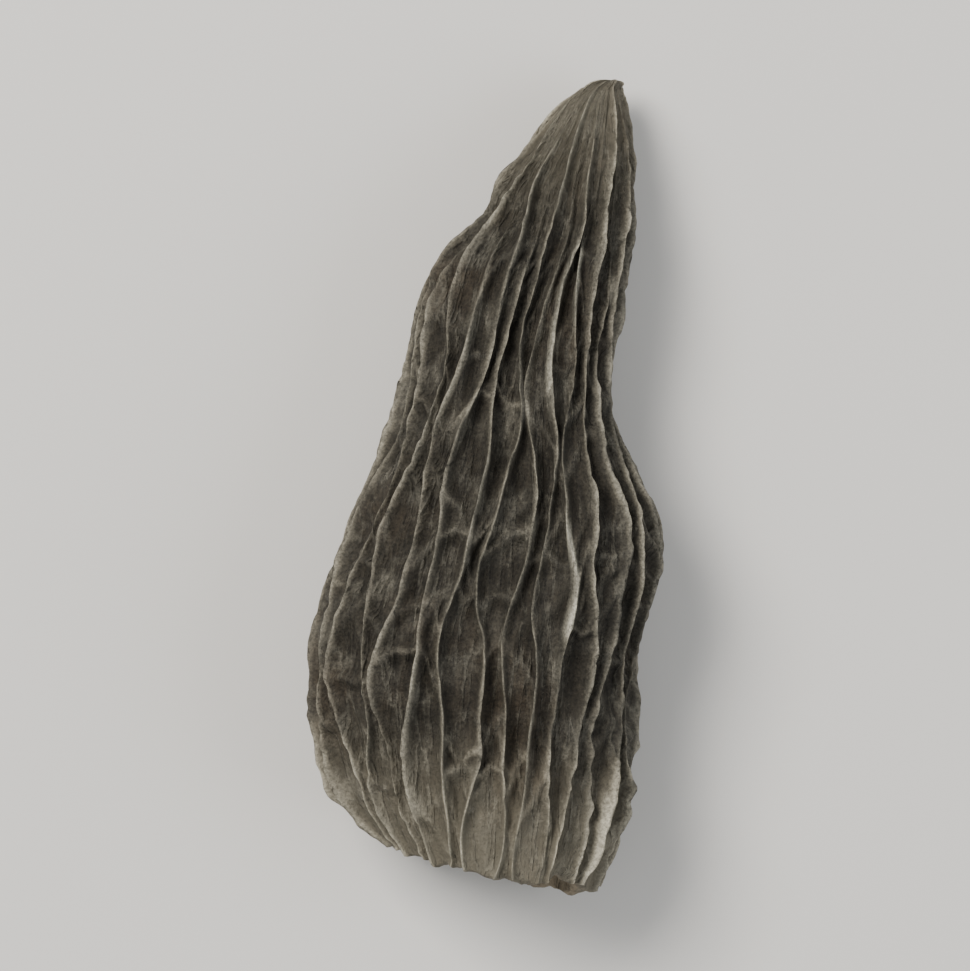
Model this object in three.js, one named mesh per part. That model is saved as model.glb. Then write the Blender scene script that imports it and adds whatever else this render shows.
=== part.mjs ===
// Dried morel cap, cut from its stem and lying on its flatter side.
// The cap is one hollow piece of leathery flesh. Outside it carries upright ribs that sway together and
// apart, joined by slanting rungs, so that they leave a net of long pits. Inside it is smooth, and open
// where the stem was cut away. Millimetres. +Y runs from the cut base to the tip, and +Z is up.

import * as THREE from "three";

// Driving dimensions
const RIBS = 30; // ribs round the cap
const RIB_HEIGHT = 0.8; // from a pit's floor to the crest beside it
const WALL = 0.7; // flesh between a pit's floor and the hollow
const SIDE_INSET = 0.88; // share of the rib height by which the flesh lies inside the outline
const LEAST_HALF = 0.4; // thinnest half width of the flesh, at the tip
const HOLLOW_END = 0.84; // share of the length at which the hollow closes
const TIP = [5.4, 17.55, 2.3];

// Sections from the cut base to the tip: left edge x, y, right edge x, y, then lowest and highest z.
const SECTIONS = [
  [-4.4, -15.2, 4.9, -17.6, 0.1, 8.8],
  [-6.4, -13.2, 5.7, -14.9, -0.1, 9.2],
  [-7.3, -10.5, 6.2, -12.1, -0.2, 9.3],
  [-7.7, -7.9, 6.6, -9.2, -0.5, 9.7],
  [-7.3, -5.1, 6.8, -6.8, -0.9, 9.8],
  [-6.3, -2.7, 7.4, -4.1, -1.0, 9.7],
  [-5.3, -0.2, 7.5, -1.9, -0.9, 9.3],
  [-4.3, 2.2, 6.5, 0.5, -0.4, 8.7],
  [-3.6, 4.9, 5.6, 3.1, -0.2, 8.1],
  [-3.1, 7.3, 5.5, 5.7, -0.1, 7.6],
  [-2.3, 9.6, 6.0, 8.2, 0.0, 7.1],
  [-0.7, 11.2, 6.5, 10.6, 0.2, 6.5],
  [0.2, 12.8, 6.6, 12.7, 0.4, 5.8],
  [1.6, 14.4, 6.5, 14.6, 0.7, 5.1],
  [3.1, 16.3, 6.2, 16.3, 1.1, 4.2],
  [4.1, 17.1, 5.9, 17.2, 1.6, 3.2],
];

// How the section is squared off, and how evenly the ribs are spread round it
const SQUARENESS = 0.86;
const SPREAD = 0.11;

// The long fold where the top side sank as it dried, and broad lumps over the whole cap
const FOLD_DEPTH = 0.7;
const FOLD_WIDTH = 0.07; // in turns round the cap
const FOLD_TURN = 0.27; // where it starts, in turns from the right edge
const FOLD_DRIFT = -0.07; // how far round it moves on its way to the tip
const FOLD_BEND = 0.015; // how far its line bends to each side, in turns
const FOLD_BENDS = 2.2; // times that it bends along the cap
const FOLD_SETS_IN = [0.06, 0.3]; // shares of the length between which it deepens
const FOLD_ENDS = [0.5, 0.85]; // and between which it runs out
const LUMP = 0.25;
const LUMPS_ROUND = 3; // lumps to a turn
const LUMPS_ALONG = 2.3;
const LUMP_TWIST = 1.7; // turns that the lumps wind on their way to the tip

// The net of ribs and rungs
const SWAYS = 3.1; // times that a rib sways along the cap
const SWAYS_RANGE = 1.2; // by how much that differs from rib to rib
const SWAY = 0.34; // widest sway, in rib spacings
const SWAY_CHANGE = 0.25; // share of the sway that comes and goes along a rib
const SWAY_CHANGES = 1.3; // times that it does so
const SWAY_SCATTER = 0.25; // how far a rib's sways start from those of its neighbours, in sways
const RIPPLE = 0.08; // smaller sway, in rib spacings
const RIPPLES = 2.3; // ripples to each sway
const LINE_START = -0.2; // x at the cut of the line that the ribs on the top keep to
const LINE_END = 5; // its x at the tip
const LINE_CURVE = 1.5;
const FIRST_END = 0.62; // share of the length at which every second rib starts to run out
const SECOND_END = 0.82; // the same for every second one of the rest
const END_REACH = 0.15; // length over which they run out
const UNEVEN = 0.12; // share of its height by which a rib rises and sinks
const UNEVEN_WAVES = 3.1; // times that it does so
const MEETING = 0.8; // height of the web where two ribs come together, as a share of the rib height
const CLOSE_GAP = 0.25; // gap at which two ribs count as together, in rib spacings
const WIDE_GAP = 0.65; // gap at which the floor between them is at its lowest
const RUNGS = 6; // rungs in each row of pits
const RUNG_HEIGHT = 0.7; // share of the rib height
const RUNG_WIDTH = 0.012; // share of the cap's length
const RUNG_SLANT = 0.07; // most that one climbs or falls to the next rib, as a share of the cap's length
const RUNG_SCATTER = 0.95; // how far a rung may be from its even place, in rung spacings
const ODD_SHIFT = 0.25; // shift of the rungs in every second row of pits, in rung spacings
const RUNG_REACH = 0.92; // share of the cap's length that has rungs

// Where the ribs get lower, as shares of the cap's length and of the rib height
const CUT_REACH = 0.12;
const CUT_HEIGHT = 0.45;
const TIP_START = 0.72;
const TIP_HEIGHT = 0.3;

// Mesh steps
const ROWS = 44;
const ACROSS = [0, 0.2, 0.5, 0.8]; // places from one crest to the next
const FOOT = 0.12; // height of a rib's foot, as a share of its crest
const INNER_COLUMNS = RIBS;
const INNER_ROWS = 13;
const STEP = 1e-3; // for the slope of the surface

const { smoothstep } = THREE.MathUtils;

const fraction = (x) => x - Math.floor(x);

// A repeatable number from 0 to 1 for the pair a, b.
const scatter = (a, b) => fraction(Math.sin(a * 12.9898 + b * 78.233) * 43758.5453);

const wave = (turns) => Math.sin(2 * Math.PI * turns);

const signedPower = (x, power) => Math.sign(x) * Math.abs(x) ** power;

// The section at v, from 0 at the cut base to 1 at the tip, on a smooth curve through SECTIONS.
function sectionAt(v) {
  const last = SECTIONS.length - 1;
  const place = Math.min(v, 1) * last;
  const at = Math.min(Math.floor(place), last - 1);
  const t = place - at;
  const [a, b, c, d] = [-1, 0, 1, 2].map((k) => SECTIONS[Math.min(Math.max(at + k, 0), last)]);
  return b.map((_, i) => {
    const leave = (c[i] - a[i]) / 2;
    const arrive = (d[i] - b[i]) / 2;
    const cubic = 2 * b[i] - 2 * c[i] + leave + arrive;
    const square = 3 * c[i] - 3 * b[i] - 2 * leave - arrive;
    return ((cubic * t + square) * t + leave) * t + b[i];
  });
}

const blend = (from, to, share) => from + (to - from) * share;

// Ribs are lower where they crowd together at the tip, and where they run out at the cut.
function taper(v) {
  const nearCut = blend(CUT_HEIGHT, 1, smoothstep(v, 0, CUT_REACH));
  const nearTip = blend(1, TIP_HEIGHT, smoothstep(v, TIP_START, 1));
  return nearCut * nearTip;
}

// How far the top side sank at u, v: most in the middle third of the length.
function foldDepth(u, v) {
  const line = FOLD_TURN + FOLD_DRIFT * v + FOLD_BEND * wave(FOLD_BENDS * v);
  const across = (fraction(u) - line) / FOLD_WIDTH;
  const along = smoothstep(v, ...FOLD_SETS_IN) * (1 - smoothstep(v, ...FOLD_ENDS));
  return FOLD_DEPTH * along * Math.exp(-across * across);
}

// Broad lumps, which fade out towards the tip.
const lump = (u, v) =>
  LUMP * (1 - v) * wave(LUMPS_ROUND * u + LUMP_TWIST * v) * wave(LUMPS_ALONG * v - u);

// The flesh at the floors of the pits: a squared oval round each section. u runs from 0 at the right
// edge over the top to 0.5 at the left edge, and back along the underside to 1.
function flesh(u, v) {
  const [leftX, leftY, rightX, rightY, low, high] = sectionAt(v);
  const inset = SIDE_INSET * RIB_HEIGHT * taper(v);
  const middle = new THREE.Vector3((leftX + rightX) / 2, (leftY + rightY) / 2, (low + high) / 2);
  const half = new THREE.Vector3(rightX - leftX, rightY - leftY, 0).multiplyScalar(0.5);
  const uneven = lump(u, v);
  half.setLength(Math.max(half.length() - inset + uneven, LEAST_HALF));
  const rise = Math.max((high - low) / 2 - inset + uneven, LEAST_HALF);
  const angle = 2 * Math.PI * u + SPREAD * wave(2 * u);
  middle.addScaledVector(half, signedPower(Math.cos(angle), SQUARENESS));
  middle.z += rise * signedPower(Math.sin(angle), SQUARENESS) - foldDepth(u, v);
  return middle;
}

function fleshNormal(u, v) {
  const back = Math.max(v - STEP, 0);
  const ahead = Math.min(v + STEP, 1);
  const round = flesh(u + STEP, v).sub(flesh(u - STEP, v));
  const along = flesh(u, ahead).sub(flesh(u, back));
  return round.cross(along).normalize().negate();
}

// Where rib k runs at v, in rib spacings. Neighbours sway opposite ways, so that they meet and part.
function ribPlace(k, v) {
  const own = k % RIBS;
  const sways = SWAYS + SWAYS_RANGE * (scatter(own, 1) - 0.5);
  const reach = SWAY * (1 - SWAY_CHANGE + SWAY_CHANGE * wave(SWAY_CHANGES * v + scatter(own, 2)));
  const slow = reach * wave(sways * v + own / 2 + SWAY_SCATTER * scatter(own, 3));
  const quick = RIPPLE * wave(RIPPLES * sways * v + scatter(own, 4));
  return k + slow + quick;
}

// The turn round the cap at a place in rib spacings. The cap bends more than its ribs, so those on the top
// and the underside are drawn from the middle of the section towards a smoother line.
function ribTurn(place, v) {
  const [leftX, , rightX] = sectionAt(v);
  const line = blend(LINE_START, LINE_END, v ** LINE_CURVE);
  const pull = (line - (leftX + rightX) / 2) / (Math.PI * (rightX - leftX));
  const turn = place / RIBS;
  return turn - pull * wave(turn);
}

// The share of the length at which rib k starts to run out.
function ribEnd(k) {
  if (k % 2 === 1) return FIRST_END;
  return k % 4 === 2 ? SECOND_END : 1;
}

// A rib's height at v. It rises and sinks a little, and most ribs run out before the tip.
function ribHeight(k, v) {
  const own = k % RIBS;
  const uneven = 1 - UNEVEN + UNEVEN * wave(UNEVEN_WAVES * v + scatter(own, 5));
  const left = 1 - smoothstep(v, ribEnd(own), ribEnd(own) + END_REACH);
  return RIB_HEIGHT * taper(v) * uneven * left;
}

// The height, as a share of the rib height, of the rungs across the row of pits after rib k. Each has a slant
// of its own, and its middle stands on a mesh row.
function rungHeight(k, share, v) {
  let height = 0;
  for (let rung = 0; rung < RUNGS; rung += 1) {
    const shift = RUNG_SCATTER * (scatter(k, 10 + rung) - 0.5) + ODD_SHIFT * (k % 2);
    const place = Math.round((ROWS * RUNG_REACH * (rung + 0.5 + shift)) / RUNGS) / ROWS;
    const slant = RUNG_SLANT * (2 * scatter(k, 20 + rung) - 1);
    const away = (v - slant * (share - 0.5) - place) / RUNG_WIDTH;
    height = Math.max(height, RUNG_HEIGHT * Math.exp(-away * away));
  }
  return height;
}

// A point of the ribbed outside.
function outsidePoint(column, row) {
  const v = row / ROWS;
  const k = Math.floor(column / ACROSS.length);
  const share = ACROSS[column % ACROSS.length];
  const place = ribPlace(k, v);
  const gap = ribPlace(k + 1, v) - place;
  const u = ribTurn(place + gap * share, v);
  const here = ribHeight(k, v);
  const next = ribHeight(k + 1, v);
  const together = 1 - smoothstep(gap, CLOSE_GAP, WIDE_GAP);
  const floor = Math.max(MEETING * together, rungHeight(k, share, v)) * Math.min(here, next);
  let height = floor;
  if (share === 0) height = here;
  else if (share < 0.5) height = floor + FOOT * (here - floor);
  else if (share > 0.5) height = floor + FOOT * (next - floor);
  const point = flesh(u, v).addScaledVector(fleshNormal(u, v), height);
  point.z = Math.max(point.z, 0); // pressed flat by the surface that it dried on
  return point;
}

// A point of the smooth hollow.
function insidePoint(column, row) {
  const v = (HOLLOW_END * row) / INNER_ROWS;
  const u = column / INNER_COLUMNS;
  return flesh(u, v).addScaledVector(fleshNormal(u, v), -WALL);
}

// A ring of points for each row, and the triangles between rings.
function capGeometry() {
  const points = [];
  const triangles = [];
  const outerColumns = RIBS * ACROSS.length;

  function ring(columns, makePoint) {
    const first = points.length;
    for (let column = 0; column < columns; column += 1) points.push(makePoint(column));
    return first;
  }

  // Joins two rings of the same number of points.
  function band(lower, upper, columns, outward) {
    for (let i = 0; i < columns; i += 1) {
      const j = (i + 1) % columns;
      const quad = [lower + i, lower + j, upper + j, upper + i];
      if (outward) quad.reverse();
      triangles.push([quad[0], quad[1], quad[2]], [quad[0], quad[2], quad[3]]);
    }
  }

  // Closes a ring with triangles to one point.
  function fan(ringStart, point, columns, outward) {
    for (let i = 0; i < columns; i += 1) {
      const a = ringStart + i;
      const b = ringStart + ((i + 1) % columns);
      triangles.push(outward ? [b, a, point] : [a, b, point]);
    }
  }

  const outer = [];
  for (let row = 0; row < ROWS; row += 1) {
    outer.push(ring(outerColumns, (column) => outsidePoint(column, row)));
  }
  for (let row = 1; row < ROWS; row += 1) band(outer[row - 1], outer[row], outerColumns, true);
  const tip = points.push(new THREE.Vector3(...TIP)) - 1;
  fan(outer[ROWS - 1], tip, outerColumns, true);

  const inner = [];
  for (let row = 0; row < INNER_ROWS; row += 1) {
    inner.push(ring(INNER_COLUMNS, (column) => insidePoint(column, row)));
  }
  for (let row = 1; row < INNER_ROWS; row += 1) band(inner[row - 1], inner[row], INNER_COLUMNS, false);
  const end = sectionAt(HOLLOW_END);
  const close = new THREE.Vector3((end[0] + end[2]) / 2, (end[1] + end[3]) / 2, (end[4] + end[5]) / 2);
  fan(inner[INNER_ROWS - 1], points.push(close) - 1, INNER_COLUMNS, false);

  // The cut face: each step of the inner ring meets one rib spacing of the outer ring.
  const steps = ACROSS.length;
  for (let i = 0; i < INNER_COLUMNS; i += 1) {
    const near = inner[0] + i;
    const far = inner[0] + ((i + 1) % INNER_COLUMNS);
    for (let s = 0; s < steps; s += 1) {
      const a = outer[0] + i * steps + s;
      const b = outer[0] + ((i * steps + s + 1) % outerColumns);
      triangles.push([a, b, s < steps / 2 ? near : far]);
      if (s === steps / 2) triangles.push([a, far, near]);
    }
  }

  const geometry = new THREE.BufferGeometry();
  geometry.setAttribute("position", new THREE.Float32BufferAttribute(points.flatMap((p) => p.toArray()), 3));
  geometry.setIndex(triangles.flat());
  geometry.computeVertexNormals();
  return geometry;
}

const driedFlesh = new THREE.MeshStandardMaterial({ color: 0x47433b, roughness: 0.72, metalness: 0 });

const cap = new THREE.Mesh(capGeometry(), driedFlesh);
cap.name = "morel_cap";

const morel = new THREE.Group();
morel.add(cap);

export default morel;
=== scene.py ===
"""Dried morel cap, cut from its stem and lying on its flatter side on a pale floor.

The cap is one hollow piece of leathery flesh, so the scene holds one finished piece. Its surface is worked
out with numpy from two parameters: u, the turn round the cap, and v, the share of its length from the cut
base to the tip. +Y runs from the cut base to the tip, and +Z is up. The cap's sizes are in millimetres, and
the rest is in metres.
"""

import bpy
import numpy as np
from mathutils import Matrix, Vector


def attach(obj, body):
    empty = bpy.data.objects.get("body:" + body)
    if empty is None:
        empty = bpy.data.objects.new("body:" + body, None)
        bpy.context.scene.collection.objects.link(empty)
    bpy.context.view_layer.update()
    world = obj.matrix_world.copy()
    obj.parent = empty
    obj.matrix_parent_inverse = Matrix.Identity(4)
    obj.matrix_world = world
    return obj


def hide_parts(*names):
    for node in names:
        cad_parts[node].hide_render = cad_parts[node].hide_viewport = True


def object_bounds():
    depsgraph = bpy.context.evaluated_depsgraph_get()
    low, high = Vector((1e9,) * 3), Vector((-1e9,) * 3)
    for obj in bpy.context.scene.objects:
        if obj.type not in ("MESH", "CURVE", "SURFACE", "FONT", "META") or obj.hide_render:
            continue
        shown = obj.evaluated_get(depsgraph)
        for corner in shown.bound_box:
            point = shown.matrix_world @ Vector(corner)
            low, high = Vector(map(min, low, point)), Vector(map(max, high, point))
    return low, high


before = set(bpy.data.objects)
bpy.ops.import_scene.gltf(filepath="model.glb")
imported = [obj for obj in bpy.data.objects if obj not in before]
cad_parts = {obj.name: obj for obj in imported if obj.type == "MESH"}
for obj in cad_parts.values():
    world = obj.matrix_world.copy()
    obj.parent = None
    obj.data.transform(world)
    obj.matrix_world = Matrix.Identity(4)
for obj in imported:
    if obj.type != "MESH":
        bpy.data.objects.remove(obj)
cad_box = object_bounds()

# The cap's flesh
# The real piece is a hollow, pointed cap that shrank, flattened and bent as it dried. It is cut across where
# the stem was, and pressed flat under its weight. The sizes repeat those of the solid.
# Each row of SECTIONS, from the cut base to the tip: left edge x, y, right edge x, y, lowest and highest z.
SECTIONS = np.array([
    [-4.4, -15.2, 4.9, -17.6, 0.1, 8.8],
    [-6.4, -13.2, 5.7, -14.9, -0.1, 9.2],
    [-7.3, -10.5, 6.2, -12.1, -0.2, 9.3],
    [-7.7, -7.9, 6.6, -9.2, -0.5, 9.7],
    [-7.3, -5.1, 6.8, -6.8, -0.9, 9.8],
    [-6.3, -2.7, 7.4, -4.1, -1.0, 9.7],
    [-5.3, -0.2, 7.5, -1.9, -0.9, 9.3],
    [-4.3, 2.2, 6.5, 0.5, -0.4, 8.7],
    [-3.6, 4.9, 5.6, 3.1, -0.2, 8.1],
    [-3.1, 7.3, 5.5, 5.7, -0.1, 7.6],
    [-2.3, 9.6, 6.0, 8.2, 0.0, 7.1],
    [-0.7, 11.2, 6.5, 10.6, 0.2, 6.5],
    [0.2, 12.8, 6.6, 12.7, 0.4, 5.8],
    [1.6, 14.4, 6.5, 14.6, 0.7, 5.1],
    [3.1, 16.3, 6.2, 16.3, 1.1, 4.2],
    [4.1, 17.1, 5.9, 17.2, 1.6, 3.2],
])

RIB_HEIGHT = 0.8
SIDE_INSET = 0.88  # share of the rib height by which the flesh lies inside the outline
LEAST_HALF = 0.4  # thinnest half width of the flesh, at the tip
SQUARENESS = 0.86
SPREAD = 0.11  # how unevenly the ribs stand round the section
FOLD_DEPTH = 0.7
FOLD_WIDTH = 0.07  # in turns round the cap, as are the next three
FOLD_TURN = 0.27
FOLD_DRIFT = -0.07
FOLD_BEND = 0.015
FOLD_BENDS = 2.2
FOLD_SETS_IN = (0.06, 0.3)  # shares of the length
FOLD_ENDS = (0.5, 0.85)
LUMP = 0.25
LUMPS_ROUND = 3
LUMPS_ALONG = 2.3
LUMP_TWIST = 1.7
CUT_REACH = 0.12
CUT_HEIGHT = 0.45  # share of their height that the ribs have at the cut
TIP_START = 0.72
TIP_HEIGHT = 0.3  # and at the tip
SLOPE_STEP = 1e-3


def wave(turns):
    """The sine of a number of whole turns."""
    return np.sin(2 * np.pi * turns)


def smoothstep(x, low, high):
    """0 below low and 1 above high, and between them 3 t squared less 2 t cubed."""
    t = np.clip((x - low) / (high - low), 0, 1)
    return t * t * (3 - 2 * t)


def signed_power(x, power):
    """The size of x raised to a power, with the sign of x."""
    return np.sign(x) * np.abs(x) ** power


def section_at(v):
    """The six section values at v: a cubic from each section to the next that keeps the slope of its
    neighbours, as half the difference between the section before and the one after."""
    last = len(SECTIONS) - 1
    place = np.minimum(v, 1) * last
    at = np.minimum(np.floor(place), last - 1).astype(int)
    t = (place - at)[..., None]
    a, b, c, d = (SECTIONS[np.clip(at + k, 0, last)] for k in (-1, 0, 1, 2))
    leave = (c - a) / 2
    arrive = (d - b) / 2
    cubic = 2 * b - 2 * c + leave + arrive
    square = 3 * c - 3 * b - 2 * leave - arrive
    return ((cubic * t + square) * t + leave) * t + b


def taper(v):
    """The share of their height that the ribs have at v: less where they run out at the cut, and where they
    crowd at the tip."""
    near_cut = CUT_HEIGHT + (1 - CUT_HEIGHT) * smoothstep(v, 0, CUT_REACH)
    near_tip = 1 - (1 - TIP_HEIGHT) * smoothstep(v, TIP_START, 1)
    return near_cut * near_tip


def fold_depth(u, v):
    """How far the top side sank: a long bell-shaped groove round a slightly bent line."""
    line = FOLD_TURN + FOLD_DRIFT * v + FOLD_BEND * wave(FOLD_BENDS * v)
    across = (u - np.floor(u) - line) / FOLD_WIDTH
    along = smoothstep(v, *FOLD_SETS_IN) * (1 - smoothstep(v, *FOLD_ENDS))
    return FOLD_DEPTH * along * np.exp(-across * across)


def flesh(u, v):
    """The floors of the pits: a squared oval round each section, where the cosine and sine of the turn are
    raised to a power under one, with broad lumps added and the fold taken away."""
    left_x, left_y, right_x, right_y, low, high = np.moveaxis(section_at(v), -1, 0)
    inset = SIDE_INSET * RIB_HEIGHT * taper(v)
    lumps = wave(LUMPS_ROUND * u + LUMP_TWIST * v) * wave(LUMPS_ALONG * v - u)
    uneven = LUMP * (1 - v) * lumps
    half_x = (right_x - left_x) / 2
    half_y = (right_y - left_y) / 2
    width = np.hypot(half_x, half_y)
    stretch = np.maximum(width - inset + uneven, LEAST_HALF) / width
    rise = np.maximum((high - low) / 2 - inset + uneven, LEAST_HALF)
    angle = 2 * np.pi * u + SPREAD * wave(2 * u)
    across = stretch * signed_power(np.cos(angle), SQUARENESS)
    up = rise * signed_power(np.sin(angle), SQUARENESS) - fold_depth(u, v)
    x = (left_x + right_x) / 2 + half_x * across
    y = (left_y + right_y) / 2 + half_y * across
    z = (low + high) / 2 + up
    return np.stack([x, y, z], axis=-1)


def unit(vectors):
    """Each vector divided by its length."""
    return vectors / np.maximum(np.linalg.norm(vectors, axis=-1, keepdims=True), 1e-9)


def flesh_directions(u, v):
    """The outward normal and the direction round the cap, from the slopes of the flesh along u and v, and
    the length of one whole turn at that slope."""
    ahead = np.minimum(v + SLOPE_STEP, 1)
    back = np.maximum(v - SLOPE_STEP, 0)
    round_slope = flesh(u + SLOPE_STEP, v) - flesh(u - SLOPE_STEP, v)
    along_slope = flesh(u, ahead) - flesh(u, back)
    outward = -unit(np.cross(round_slope, along_slope))
    girth = np.linalg.norm(round_slope, axis=-1) / (2 * SLOPE_STEP)
    return outward, unit(round_slope), girth


# The net of ribs, rungs and pits
# Ribs stand on the flesh like thin, wavy blades. Neighbours meet and part, so that they close long pits
# between them. Where they meet, a web fills the gap. Lower rungs cross the pits on a slant.
RIBS = 30
SWAYS = 3.1  # times that a rib sways along the cap
SWAYS_RANGE = 1.2
SWAY = 0.34  # widest sway, in rib spacings
SWAY_CHANGE = 0.25
SWAY_CHANGES = 1.3
SWAY_SCATTER = 0.25
RIPPLE = 0.08
RIPPLES = 2.3
LINE_START = -0.2  # x at the cut of the line that the ribs on the top keep to
LINE_END = 5.0  # its x at the tip
LINE_CURVE = 1.5
FIRST_END = 0.62  # share of the length at which every second rib starts to sink
SECOND_END = 0.82  # the same for every second one of the rest
END_REACH = 0.15
FAINT = 0.3  # share of its height that is left of a rib that sank
UNEVEN = 0.12
UNEVEN_WAVES = 3.1
CRINKLE = 0.13
FINE_CRINKLE = 0.6  # share of the fine crinkles, beside the finest
FRAY = 1.6  # how much rougher the crests are at the cut
FRAY_REACH = 0.3
MEETING = 0.8  # height of the web between two ribs that meet, as a share of the rib height
CLOSE_GAP = 0.25  # gaps between which the web sinks, in rib spacings
WIDE_GAP = 0.65
RUNGS = 6  # rungs in each row of pits
RUNG_HEIGHT = 0.7
RUNG_WIDTH = 0.0065  # share of the length, as are the slants
RUNG_SLANT = 0.07
RUNG_SCATTER = 0.95
ODD_SHIFT = 0.25
RUNG_REACH = 0.92
SOLID_ROWS = 44  # the rungs stand on this many rows, as the solid's do
PIT_WIDTH = 0.034  # share of the length
SAG = 0.85  # height in the middle of a rung
SAG_RISE = 0.35  # how much higher it is at the ribs
SAG_CURVE = 1.5
RUNG_BEND = 0.004
RUNG_BENDS = 1.2
RUNG_PALENESS = 0.78  # where the crests of the ribs have 1
FINE_RUNGS = 9
FINE_RUNG_HEIGHT = 0.55
FINE_RUNG_WIDTH = 0.0055
FINE_RUNG_SLANT = 0.1
FINE_RUNG_PALENESS = 0.62
BLADE = 0.1  # half width of a rib's blade
BLADE_SHARPNESS = 1.5
BLADE_CHANGE = 0.35
SLIMMEST = 0.45  # share of their width that the ribs keep where they run out
BUTTRESS = 0.27  # half width of a rib's foot
BUTTRESS_SHARE = 0.18
LEAN = 0.26  # how far a crest leans to one side
JITTER = 0.05
WRINKLE = 0.09  # depth of the wrinkles on the pits' floors
STREAK = 0.7  # depth of the short wrinkles, as a share of the long ones
PALE_BY_HEIGHT = 0.35  # how far paleness follows the height, which paints shade down into the pits
PALE_BY_EDGE = 0.7  # and the edges of ribs and rungs
PRESSED_CLEAR = 0.3  # height of the pits' floors over the surface that the cap lies on
PRESSED_EDGE = (0.1, 0.75)  # paleness between which that height falls to nothing
ACROSS = 11  # columns from one crest to the next
GATHER = 0.68  # how strongly the columns gather at the crests
OUTER_ROWS = 264
GRID_ROW = 1.37  # keeps the random numbers of the rows of a grid apart


def scatter(a, b):
    """A repeatable number from 0 to 1: the fraction of a large multiple of the sine of a mix of a and b."""
    x = np.sin(a * 12.9898 + b * 78.233) * 43758.5453
    return x - np.floor(x)


def bumps(x, y, salt, period=None):
    """Smooth random bumps from -1 to 1: repeatable values on a square grid of whole numbers, blended with
    the smoothstep curve. Where a period is given, x repeats after it."""
    left = np.floor(x)
    low = np.floor(y)
    right = left + 1
    across = smoothstep(x - left, 0, 1)
    up = smoothstep(y - low, 0, 1)
    if period:
        left = left % period
        right = right % period

    def row_value(row):
        at_left = scatter(left + salt, row * GRID_ROW)
        at_right = scatter(right + salt, row * GRID_ROW)
        return at_left * (1 - across) + at_right * across

    return 2 * (row_value(low) * (1 - up) + row_value(low + 1) * up) - 1


def along_rib(k, v, steps, salt):
    """Smooth random bumps along rib k, with a number of grid steps from the cut to the tip."""
    return bumps(v * steps, (k % RIBS) * 1.0, salt)


def over_cap(u, v, to_a_turn, along, salt):
    """Smooth random bumps over the cap, with a number of grid steps to a turn, and another along the cap."""
    return bumps(u * to_a_turn, v * along, salt, period=to_a_turn)


def rib_place(k, v):
    """Where rib k runs, in rib spacings: its number plus a slow and a quick sway along the cap, of which
    the slow one is opposite in every second rib."""
    own = k % RIBS
    sways = SWAYS + SWAYS_RANGE * (scatter(own, 1) - 0.5)
    reach = SWAY * (1 - SWAY_CHANGE + SWAY_CHANGE * wave(SWAY_CHANGES * v + scatter(own, 2)))
    slow = reach * wave(sways * v + own / 2 + SWAY_SCATTER * scatter(own, 3))
    quick = RIPPLE * wave(RIPPLES * sways * v + scatter(own, 4))
    return k + slow + quick


def rib_turn(place, v):
    """The turn round the cap at a place in rib spacings. The cap bends more than its ribs, so a sine of the
    turn pulls the ribs on the top and the underside towards a line whose x rises with a power of v."""
    turn = place / RIBS
    section = section_at(v)
    left_x = section[..., 0]
    right_x = section[..., 2]
    line = LINE_START + (LINE_END - LINE_START) * v ** LINE_CURVE
    pull = (line - (left_x + right_x) / 2) / (np.pi * (right_x - left_x))
    return turn - pull * wave(turn)


def rib_height(k, v):
    """A rib's height: it rises and sinks a little, with a crinkled crest that is rougher near the cut. Every
    second rib sinks to a faint line well before the tip, and every second one of the rest close to it."""
    own = k % RIBS
    uneven = 1 - UNEVEN + UNEVEN * wave(UNEVEN_WAVES * v + scatter(own, 5))
    end = np.where(own % 2 == 1, FIRST_END, np.where(own % 4 == 2, SECOND_END, 1))
    dying = 1 - (1 - FAINT) * smoothstep(v, end, end + END_REACH)
    coarse = along_rib(k, v, steps=11, salt=42) + along_rib(k, v, steps=26, salt=40)
    fine = along_rib(k, v, steps=71, salt=41)
    finest = along_rib(k, v, steps=125, salt=43)
    rough = coarse + FINE_CRINKLE * fine + (1 - FINE_CRINKLE) * finest
    crinkle = CRINKLE * (1 + FRAY * (1 - smoothstep(v, 0, FRAY_REACH)))
    return RIB_HEIGHT * taper(v) * uneven * dying * (1 + crinkle * rough)


def rung_height(k, share, v):
    """The rungs across the pits after rib k, as a share of the rib height: narrow bells along the cap round
    places that slant from one rib to the next, with middles that hang a little. First the solid's rungs, then
    finer and lower ones. The bells alone come second."""
    hang = SAG + SAG_RISE * np.abs(2 * share - 1) ** SAG_CURVE
    bent = RUNG_BEND * wave(RUNG_BENDS * share + scatter(k, 29))
    height = np.zeros(np.broadcast(k, v).shape)
    line = np.zeros(height.shape)

    def add_rung(place, slant, width, rise, paleness):
        nonlocal height, line
        steep_width = width * np.hypot(1, slant / PIT_WIDTH)
        bell = np.exp(-((v + bent - slant * (share - 0.5) - place) / steep_width) ** 2)
        height = np.maximum(height, rise * hang * bell)
        line = np.maximum(line, paleness * bell)

    for rung in range(RUNGS):
        shift = RUNG_SCATTER * (scatter(k, 10 + rung) - 0.5) + ODD_SHIFT * (k % 2)
        place = np.floor(SOLID_ROWS * RUNG_REACH * (rung + 0.5 + shift) / RUNGS + 0.5) / SOLID_ROWS
        slant = RUNG_SLANT * (2 * scatter(k, 20 + rung) - 1)
        add_rung(place, slant, RUNG_WIDTH, RUNG_HEIGHT, RUNG_PALENESS)
    for rung in range(FINE_RUNGS):
        place = (rung + scatter(k, 30 + rung)) / FINE_RUNGS
        slant = FINE_RUNG_SLANT * (2 * scatter(k, 50 + rung) - 1)
        add_rung(place, slant, FINE_RUNG_WIDTH, FINE_RUNG_HEIGHT, FINE_RUNG_PALENESS)
    return height, line


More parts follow.
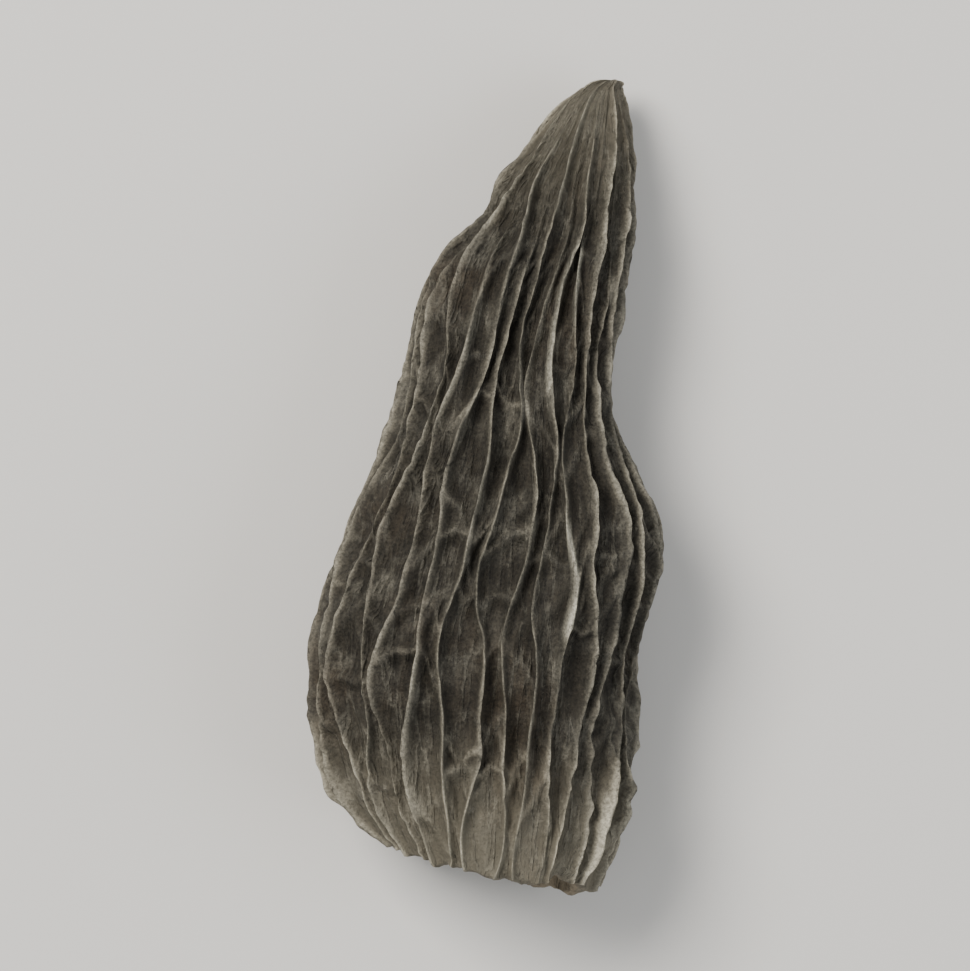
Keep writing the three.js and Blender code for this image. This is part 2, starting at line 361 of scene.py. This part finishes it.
def blade_profile(k, v, away):
    """Rib k's height at a distance from its crest, from 1 down to 0: a thin blade on a broader foot, each
    the exponential of a power of the distance. The blade alone comes second."""
    slim = SLIMMEST + (1 - SLIMMEST) * taper(v)
    width = slim * (1 + BLADE_CHANGE * along_rib(k, v, steps=17, salt=60))
    blade = np.exp(-(away / (BLADE * width)) ** BLADE_SHARPNESS)
    foot = np.exp(-(away / (BUTTRESS * width)) ** 2)
    return (1 - BUTTRESS_SHARE) * blade + BUTTRESS_SHARE * foot, blade


def crest_lean(k, v):
    """How far the crest of rib k leans to one side: slow bumps along it, and small quick ones."""
    return LEAN * along_rib(k, v, steps=7.3, salt=80) + JITTER * along_rib(k, v, steps=60, salt=81)


def outside_points(rows):
    """The ribbed outside at rows of v. Columns gather at the crests: the share s of the way from one rib to
    the next is t less a part of the sine of t turns. Height falls from each crest as the exponential of a
    power of the distance from it, down to the floor, the web or the rung between. Crests lean sideways."""
    columns = np.arange(RIBS * ACROSS)
    k = (columns // ACROSS)[None, :]
    t = (columns % ACROSS / ACROSS)[None, :]
    share = t - GATHER * wave(t) / (2 * np.pi)
    v = rows[:, None]
    place = rib_place(k, v)
    gap = rib_place(k + 1, v) - place
    between = place + gap * share
    u = rib_turn(between, v)
    outward, around, girth = flesh_directions(u, v)

    spacing = girth / RIBS
    before, blade_here = blade_profile(k, v, share * gap * spacing)
    after, blade_next = blade_profile(k + 1, v, (1 - share) * gap * spacing)
    here = rib_height(k, v)
    following = rib_height(k + 1, v)
    together = 1 - smoothstep(gap, CLOSE_GAP, WIDE_GAP)
    rungs, rung_line = rung_height(k, share, v)
    lower = np.minimum(here, following)
    floor = np.maximum(MEETING * together, rungs) * lower
    height = floor + np.maximum((here - floor) * before, (following - floor) * after)

    long_wrinkles = 1 - 2 * np.abs(over_cap(u, v, to_a_turn=90, along=14, salt=70))
    wrinkles = long_wrinkles + STREAK * over_cap(u, v, to_a_turn=60, along=55, salt=71)
    wrinkled = WRINKLE * (1 - np.maximum(before, after)) * wrinkles * taper(v)
    lean = before * crest_lean(k, v) + after * crest_lean(k + 1, v)
    sideways = lean * taper(v) * height / RIB_HEIGHT
    points = flesh(u, v) + outward * (height + wrinkled)[..., None] + around * sideways[..., None]

    # Paleness for the colour. It is pale along the edges of ribs and rungs, as the flesh is, and paler with
    # height, which paints shade into the pits.
    full = RIB_HEIGHT * taper(v)
    rib_edge = np.maximum(blade_here * np.sqrt(here / full), blade_next * np.sqrt(following / full))
    edge = np.maximum(rib_edge, rung_line * lower / full)
    crest = np.clip(PALE_BY_HEIGHT * height / full + PALE_BY_EDGE * edge, 0, 1)
    lowest = PRESSED_CLEAR * (1 - smoothstep(crest, *PRESSED_EDGE)) * taper(v)
    points[..., 2] = np.maximum(points[..., 2], lowest)
    return points, crest, rib_edge, u, between / RIBS


outer_v = np.linspace(0, 1, OUTER_ROWS)[:, None]
outer, crest, rib_edge, outer_u, outer_turn = outside_points(outer_v[:, 0])
columns = outer.shape[1]

# The tip, the hollow and the cut
# The tip closes in a small dome. The hollow is smooth flesh with faint grooves behind the ribs, and it ends
# in a point. At the cut, a torn and rounded edge joins the outside to the hollow.
MM = 0.001
TIP = (5.4, 17.55, 2.3)
WALL = 0.7  # flesh between a pit's floor and the hollow
HOLLOW_END = 0.84  # share of the length at which the hollow closes
GROOVE = 0.1
FINE_GROOVE = 0.05
TEAR = 0.42
FINE_TEAR = 0.4  # as a share of the broad one
TEAR_REACH = 0.07  # share of the length that the torn edge draws along
RIM_ROUND = 0.16
RIM_ROUGH = 0.05
DOME_ROWS = 5
INNER_ROWS = 22
RIM_ROWS = 5

# The dome: each row moves towards the tip with the sine of an angle, and shrinks with its cosine.
dome_angle = (np.arange(1, DOME_ROWS) / DOME_ROWS * np.pi / 2)[:, None, None]
dome_middle = outer[-1].mean(axis=0)
dome_spread = (outer[-1] - dome_middle) * np.cos(dome_angle)
dome = dome_middle + dome_spread + (np.array(TIP) - dome_middle) * np.sin(dome_angle)

# The hollow: the flesh moved in by the wall's thickness, which swells and thins as random bumps do.
cut_u = outer_u[0]
cut_turn = outer_turn[0]
inner_v = np.linspace(0, HOLLOW_END, INNER_ROWS)[:, None]
inner_u = np.broadcast_to(cut_u, (INNER_ROWS, columns))
inner_outward, _, _ = flesh_directions(inner_u, inner_v)
grooves = over_cap(inner_u, inner_v, to_a_turn=RIBS, along=6, salt=90)
fine_grooves = over_cap(inner_u, inner_v, to_a_turn=96, along=30, salt=91)
depth = WALL + GROOVE * grooves + FINE_GROOVE * fine_grooves
inner = flesh(inner_u, inner_v) - inner_outward * depth[..., None]
hollow_end = section_at(np.array([HOLLOW_END]))[0]
hollow_tip = (hollow_end[[0, 1, 4]] + hollow_end[[2, 3, 5]]) / 2

# The cut: an edge torn by random bumps, rounded over to the hollow as half a wave of a sine.
broad_tear = over_cap(cut_u, 0 * cut_u, to_a_turn=9, along=1, salt=95)
fine_tear = over_cap(cut_u, 0 * cut_u, to_a_turn=40, along=1, salt=96)
tear = TEAR * (broad_tear + FINE_TEAR * fine_tear)
outer[..., 1] += tear * (1 - smoothstep(outer_v, 0, TEAR_REACH))
inner[..., 1] += tear * (1 - smoothstep(inner_v, 0, TEAR_REACH))
rim_share = (np.arange(1, RIM_ROWS) / RIM_ROWS)[:, None]
rim = outer[0] * (1 - rim_share[..., None]) + inner[0] * rim_share[..., None]
rim_bumps = over_cap(cut_u, rim_share, to_a_turn=120, along=3, salt=97)
rim[..., 1] -= RIM_ROUND * np.sin(np.pi * rim_share) + RIM_ROUGH * rim_bumps

# One skin of rows from the hollow's end, out over the rim and up to the tip, closed by a fan at each end.
# Its faces point out of the flesh.
skin = np.concatenate([inner[::-1], rim[::-1], outer, dome])
row_count = len(skin)
vertices = np.concatenate([skin.reshape(-1, 3), [hollow_tip, TIP]]) * MM
row = np.arange(row_count - 1)[:, None] * columns
column = np.arange(columns)[None, :]
beside = (column + 1) % columns
quads = np.stack([row + column, row + columns + column, row + columns + beside, row + beside], axis=-1)
top_row = (row_count - 1) * columns
start_point = np.full(columns, len(vertices) - 2)
end_point = np.full(columns, len(vertices) - 1)
start_fan = np.stack([column[0], beside[0], start_point], axis=-1)
end_fan = np.stack([top_row + beside[0], top_row + column[0], end_point], axis=-1)
faces = quads.reshape(-1, 4).tolist() + start_fan.tolist() + end_fan.tolist()

mesh = bpy.data.meshes.new("dried_morel")
mesh.from_pydata(vertices.tolist(), [], faces)
mesh.shade_smooth()
morel = bpy.data.objects.new("dried_morel", mesh)
bpy.context.scene.collection.objects.link(morel)

# The dried flesh
# Grey-brown leathery skin, pale along the net and nearly black in the pits. The darkness there is partly the
# flesh's own and partly painted shade. There is a dusty bloom, with rusty patches and fine lengthwise veins
# and streaks, and a few crests on the top carry painted highlights. It is paler at both ends, and the hollow
# is mealy and tan. What the finish follows is kept on the mesh: the crests and pit shade, the painted
# highlights, the inside, the length and a plain place.
PIT_FLOOR = (0.0240, 0.0202, 0.0140)
PIT_SIDE = (0.0290, 0.0250, 0.0176)
RIB_FOOT = (0.0440, 0.0388, 0.0285)
RIB_SIDE = (0.1240, 0.1122, 0.0850)
RIB_CREST = (0.2820, 0.2590, 0.2000)
DUST = (0.100, 0.092, 0.071)
RUST = (0.070, 0.048, 0.028)
# Painted highlight: a bright colour laid where light glints on a few crests on the top and at the base.
PAINTED_HIGHLIGHT = (0.520, 0.490, 0.390)
VEIN = (0.150, 0.139, 0.109)
PALE_SKIN = (0.225, 0.203, 0.148)
MEALY_TAN = (0.30, 0.245, 0.165)
HIGHLIGHT_WIDTH = 0.5
SHORT_HIGHLIGHT = ((3.5, -6.0), (3.5, -2.2))  # x, y at both ends
LONG_HIGHLIGHT = ((2.2, 3.3), (4.0, 9.9))
LONG_HIGHLIGHT_SHARE = 0.5
BASE_HIGHLIGHT = ((4.4, -16.6), (4.9, -13.6))
BASE_HIGHLIGHT_SHARE = 0.35
HIGHLIGHT_HEIGHT = (3, 5)  # heights between which the painted highlight sets in
HIGHLIGHT_EDGE = (0.15, 0.6)  # and shares of a rib's edge
EVEN_RADIUS = 5.5
EVEN_LENGTH = 35
EVEN_RIM = 0.02  # length that the rim takes up in the plain place, as a share of the cap's
STREAK_SQUEEZE = 0.2
BUMP_STRENGTH = 0.8


def over_skin(inner_part, rim_part, outer_part, dome_part, ends):
    """One number for each point of the mesh: the rows of the hollow, the rim, the outside and the dome, in
    the order of the skin, then the two closing points."""
    parts = ((inner_part, inner), (rim_part, rim), (outer_part, outer), (dome_part, dome))
    filled = [np.broadcast_to(part, rows.shape[:2]) for part, rows in parts]
    rows = np.concatenate([filled[0][::-1], filled[1][::-1], filled[2], filled[3]])
    return np.concatenate([rows.ravel(), ends]).astype(np.float32)


def set_attribute(name, values):
    """Writes one number for each point of the mesh."""
    mesh.attributes.new(name, "FLOAT", "POINT").data.foreach_set("value", values)


def bell_round_line(points, ends, width):
    """1 on the line between two ends, seen from above, and falling to each side as a bell of that width."""
    start, end = ends
    from_start = points[..., :2] - start
    line = np.subtract(end, start)
    share = np.clip(from_start @ line / (line @ line), 0, 1)
    away = np.linalg.norm(from_start - share[..., None] * line, axis=-1)
    return np.exp(-(away / width) ** 2)


# The painted highlights lie along these lines, only high up and on the ribs' edges, where light glints.
short_stretch = bell_round_line(outer, SHORT_HIGHLIGHT, HIGHLIGHT_WIDTH)
long_stretch = LONG_HIGHLIGHT_SHARE * bell_round_line(outer, LONG_HIGHLIGHT, HIGHLIGHT_WIDTH)
base_stretch = BASE_HIGHLIGHT_SHARE * bell_round_line(outer, BASE_HIGHLIGHT, HIGHLIGHT_WIDTH)
stretches = np.maximum(np.maximum(short_stretch, long_stretch), base_stretch)
painted_highlight = stretches * smoothstep(outer[..., 2], *HIGHLIGHT_HEIGHT) * smoothstep(rib_edge, *HIGHLIGHT_EDGE)

set_attribute("crest", over_skin(0, crest[0] * (1 - rim_share), crest, crest[-1], [0, 0.6]))
set_attribute("painted_highlight", over_skin(0, 0, painted_highlight, 0, [0, 0]))
set_attribute("inside", over_skin(1, rim_share, 0, 0, [1, 0]))
set_attribute("along", over_skin(inner_v, 0, outer_v, 1, [HOLLOW_END, 1]))

# The plain place of each point is on a cylinder, so that streaks and veins follow the ribs.
turn = over_skin(cut_turn, cut_turn, outer_turn, outer_turn[-1], [0, 0])
even_along = over_skin(inner_v, -EVEN_RIM * rim_share, outer_v, 1, [HOLLOW_END, 1])
even_x = EVEN_RADIUS * np.cos(2 * np.pi * turn)
even_y = EVEN_RADIUS * np.sin(2 * np.pi * turn)
even_place = np.stack([even_x, even_y, EVEN_LENGTH * even_along], axis=-1) * MM
mesh.attributes.new("even_place", "FLOAT_VECTOR", "POINT").data.foreach_set("vector", even_place.ravel())

flesh_material = bpy.data.materials.new("morel_flesh")
flesh_material.use_nodes = True
nodes = flesh_material.node_tree.nodes
links = flesh_material.node_tree.links
shader = nodes["Principled BSDF"]


def add_attribute(name, output):
    """The output of a node that reads an attribute of the mesh."""
    node = nodes.new("ShaderNodeAttribute")
    node.attribute_name = name
    return node.outputs[output]


def add_ramp(fraction_output, *stops):
    """A colour ramp over a fraction: each stop is a place and a grey or a colour."""
    ramp = nodes.new("ShaderNodeValToRGB")
    elements = ramp.color_ramp.elements
    while len(elements) < len(stops):
        elements.new(1)
    for element, (place, colour) in zip(elements, stops):
        element.position = place
        element.color = (*colour, 1) if isinstance(colour, tuple) else (colour, colour, colour, 1)
    links.new(fraction_output, ramp.inputs["Fac"])
    return ramp.outputs["Color"]


def add_mix(blend_type, factor, first, second):
    """Two colours mixed: factor is a number or an output, and each colour is an output or a tuple."""
    mix = nodes.new("ShaderNodeMix")
    mix.data_type = "RGBA"
    mix.blend_type = blend_type
    for socket, value in ((mix.inputs[0], factor), (mix.inputs[6], first), (mix.inputs[7], second)):
        if isinstance(value, bpy.types.NodeSocket):
            links.new(value, socket)
        elif isinstance(value, tuple):
            socket.default_value = (*value, 1)
        else:
            socket.default_value = value
    return mix.outputs[2]


def add_noise(place, scale, detail, roughness):
    """Noise over a place on the cap."""
    noise = nodes.new("ShaderNodeTexNoise")
    noise.inputs["Scale"].default_value = scale
    noise.inputs["Detail"].default_value = detail
    noise.inputs["Roughness"].default_value = roughness
    links.new(place, noise.inputs["Vector"])
    return noise.outputs["Fac"]


def add_bump(height, distance, under=None):
    """The normal of a bump of a distance in metres, laid over another one where that is given."""
    bump = nodes.new("ShaderNodeBump")
    bump.inputs["Strength"].default_value = BUMP_STRENGTH
    bump.inputs["Distance"].default_value = distance
    links.new(height, bump.inputs["Height"])
    if under:
        links.new(under, bump.inputs["Normal"])
    return bump.outputs["Normal"]


crest_value = add_attribute("crest", "Fac")
painted_highlight_value = add_attribute("painted_highlight", "Fac")
inside_value = add_attribute("inside", "Fac")
along_value = add_attribute("along", "Fac")
own_place = nodes.new("ShaderNodeTexCoord").outputs["Object"]

# Squeezed along the cap, noise is drawn out into streaks that run with the ribs.
streak_space = nodes.new("ShaderNodeMapping")
streak_space.inputs["Scale"].default_value = (1, 1, STREAK_SQUEEZE)
links.new(add_attribute("even_place", "Vector"), streak_space.inputs["Vector"])
streak_place = streak_space.outputs["Vector"]

broad = add_noise(own_place, scale=190, detail=3, roughness=0.55)
patchy = add_noise(own_place, scale=620, detail=4, roughness=0.6)
grainy = add_noise(own_place, scale=7000, detail=4, roughness=0.7)
streaked = add_noise(streak_place, scale=3600, detail=4, roughness=0.65)
winding = add_noise(streak_place, scale=1300, detail=3, roughness=0.55)
veined = add_ramp(winding, (0.45, 0.0), (0.5, 1.0), (0.55, 0.0))

# Pale crests are the flesh's own colour. The near-black pit floors are partly its darker flesh and partly
# painted shade.
skin_colour = add_ramp(
    crest_value,
    (0.0, PIT_FLOOR),
    (0.3, PIT_SIDE),
    (0.55, RIB_FOOT),
    (0.75, RIB_SIDE),
    (1.0, RIB_CREST),
)
dusty = add_mix("MIX", add_ramp(patchy, (0.46, 0.0), (0.72, 0.5)), skin_colour, DUST)
rusty = add_mix("MIX", add_ramp(broad, (0.52, 0.0), (0.76, 0.35)), dusty, RUST)
# The painted highlights laid over the skin.
with_painted_highlight = add_mix("MIX", painted_highlight_value, rusty, PAINTED_HIGHLIGHT)
vein_share = add_mix("MULTIPLY", 1.0, veined, add_ramp(patchy, (0.4, 0.1), (0.6, 0.6)))
veiny = add_mix("MIX", vein_share, with_painted_highlight, VEIN)
speckled = add_mix("MULTIPLY", 1.0, veiny, add_ramp(grainy, (0.32, 0.5), (0.68, 1.5)))
streaky = add_mix("MULTIPLY", 0.9, speckled, add_ramp(streaked, (0.3, 0.5), (0.7, 1.45)))
ends_gain = add_ramp(along_value, (0.0, 2.2), (0.16, 1.0), (0.72, 1.0), (1.0, 1.9))
ends_brighter = add_mix("MULTIPLY", 1.0, streaky, ends_gain)
ends_share = add_ramp(along_value, (0.0, 0.5), (0.16, 0.0), (0.72, 0.0), (1.0, 0.45))
ends_paler = add_mix("MIX", ends_share, ends_brighter, PALE_SKIN)
hollow_colour = add_mix("MULTIPLY", 1.0, MEALY_TAN, add_ramp(patchy, (0.3, 0.55), (0.75, 1.2)))
cap_colour = add_mix("MIX", add_ramp(inside_value, (0.1, 0.0), (0.7, 1.0)), ends_paler, hollow_colour)
links.new(cap_colour, shader.inputs["Base Color"])

links.new(add_ramp(patchy, (0.3, 0.86), (0.7, 0.6)), shader.inputs["Roughness"])
shader.inputs["Specular IOR Level"].default_value = 0.32

vein_bump = add_bump(veined, distance=0.0001)
streak_bump = add_bump(streaked, distance=0.0002, under=vein_bump)
grain_bump = add_bump(grainy, distance=0.00014, under=streak_bump)
links.new(grain_bump, shader.inputs["Normal"])

mesh.materials.append(flesh_material)
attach(morel, "root")
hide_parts("morel_cap")

# The floor
# A plain pale sheet under the cap, in matt paint. It is made as one flat square, wide enough to fill the view
# from low down.
FLOOR_HALF = 1.5
FLOOR_PAINT = (0.72, 0.70, 0.66, 1)
floor_mesh = bpy.data.meshes.new("pale_floor")
floor_corners = [(FLOOR_HALF * x, FLOOR_HALF * y, 0) for x, y in ((-1, -1), (1, -1), (1, 1), (-1, 1))]
floor_mesh.from_pydata(floor_corners, [], [(0, 1, 2, 3)])
floor = bpy.data.objects.new("pale_floor", floor_mesh)
bpy.context.scene.collection.objects.link(floor)
floor_material = bpy.data.materials.new("pale_paint")
floor_material.use_nodes = True
floor_shader = floor_material.node_tree.nodes["Principled BSDF"]
floor_shader.inputs["Base Color"].default_value = FLOOR_PAINT
floor_shader.inputs["Roughness"].default_value = 0.8
floor_mesh.materials.append(floor_material)

# Studio light
# A large soft lamp above on the left gives the shape, a weaker one on the right fills it, and a pale world
# lights the rest.
cad_middle = (Vector(cad_box[0]) + Vector(cad_box[1])) / 2
world = bpy.data.worlds.new("soft_room")
bpy.context.scene.world = world
world.use_nodes = True
background = world.node_tree.nodes["Background"]
background.inputs["Color"].default_value = (0.95, 0.97, 1.0, 1)
background.inputs["Strength"].default_value = 0.45


def add_lamp(name, place, size, power, colour):
    """A square area lamp at a place, turned so that it shines at the middle of the cap."""
    lamp = bpy.data.lights.new(name, "AREA")
    lamp.size = size
    lamp.energy = power
    lamp.color = colour
    lamp_object = bpy.data.objects.new(name, lamp)
    lamp_object.location = place
    aim = (cad_middle - lamp_object.location).to_track_quat("-Z", "Y")
    lamp_object.rotation_euler = aim.to_euler()
    bpy.context.scene.collection.objects.link(lamp_object)


add_lamp("key_lamp", place=(-0.16, 0.14, 0.28), size=0.16, power=1.6, colour=(1.0, 0.97, 0.93))
add_lamp("fill_lamp", place=(0.28, -0.06, 0.22), size=0.25, power=0.55, colour=(0.93, 0.96, 1.0))

# The camera
# It looks straight down on the cap, as the photograph looks straight at it, with the tip upwards. The lens
# is long enough for the cap to fill most of the frame.
CAMERA_HEIGHT = 0.42
FRAME_FILL = 0.84
SENSOR = 36
camera_data = bpy.data.cameras.new("camera")
camera = bpy.data.objects.new("camera", camera_data)
camera.location = (cad_middle.x, cad_middle.y, CAMERA_HEIGHT)
cap_length = cad_box[1][1] - cad_box[0][1]
camera_data.sensor_width = SENSOR
camera_data.lens = SENSOR * (CAMERA_HEIGHT - cad_middle.z) * FRAME_FILL / cap_length
camera_data.clip_start = 0.01
bpy.context.scene.collection.objects.link(camera)
bpy.context.scene.camera = camera
